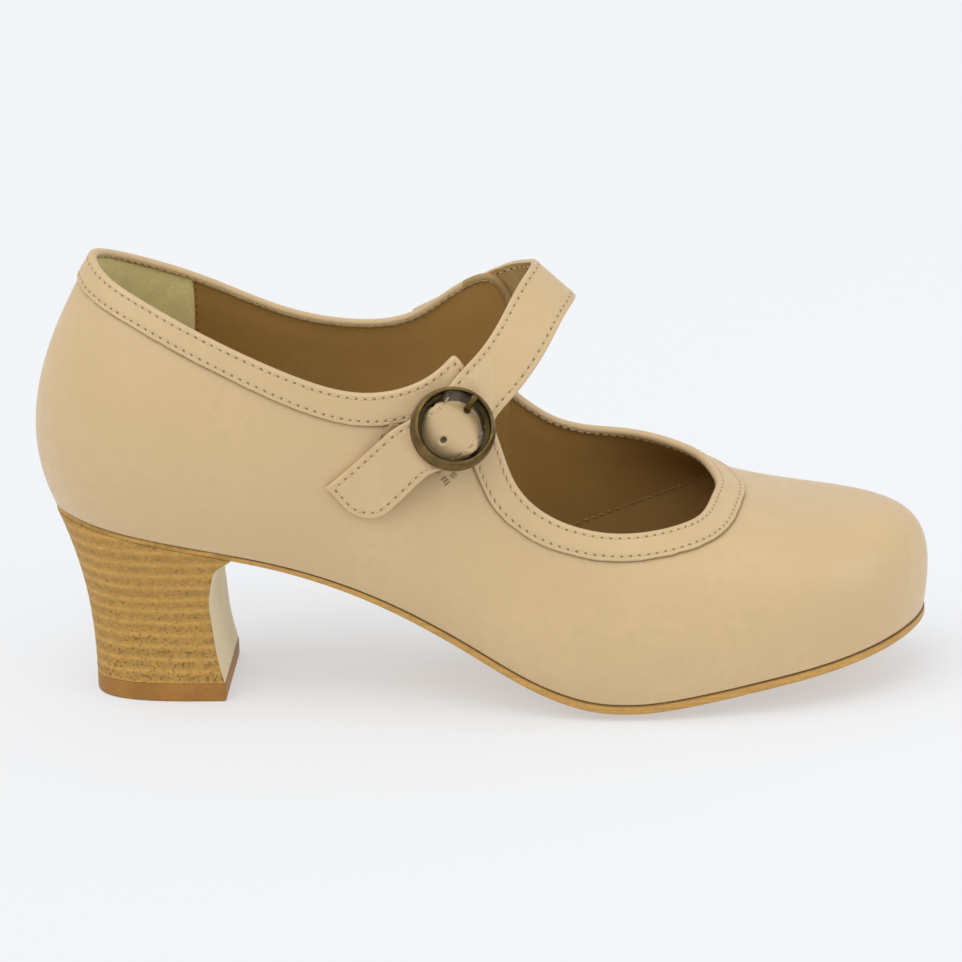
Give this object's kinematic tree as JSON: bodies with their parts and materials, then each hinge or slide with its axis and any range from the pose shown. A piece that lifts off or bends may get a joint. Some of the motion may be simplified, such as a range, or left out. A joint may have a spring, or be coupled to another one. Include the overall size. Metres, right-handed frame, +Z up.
{
  "type": "strapped heeled shoe",
  "caption": "Right low-cut smooth leather shoe with a round toe, an instep strap with a ring buckle and a stacked block heel.",
  "frame": {"origin": "on the floor, on the worn face of the heel's top piece, in the shoe's middle plane", "axes": "+X towards the toe, +Y towards the inner side of the foot, +Z up"},
  "size_m": [0.2448, 0.0846, 0.1221],
  "materials": {
    "upper_leather": "smooth beige leather, soft sheen",
    "lining_leather": "smooth brown lining leather, matt",
    "sole_leather": "tan sole leather, burnished edge",
    "heel_stack": "stacked tan layers with dark flecks, matt",
    "top_piece": "brown, slightly polished",
    "buckle_metal": "antique brass, dark in its recesses"
  },
  "bodies": {
    "root": {"upper": "upper_leather", "strap": "upper_leather", "insole": "lining_leather", "buckle_keeper": "lining_leather", "outsole": "sole_leather", "heel_block": "heel_stack", "heel_top_piece": "top_piece", "buckle_frame": "buckle_metal", "buckle_prong": "buckle_metal"}
  },
  "joints": []
}
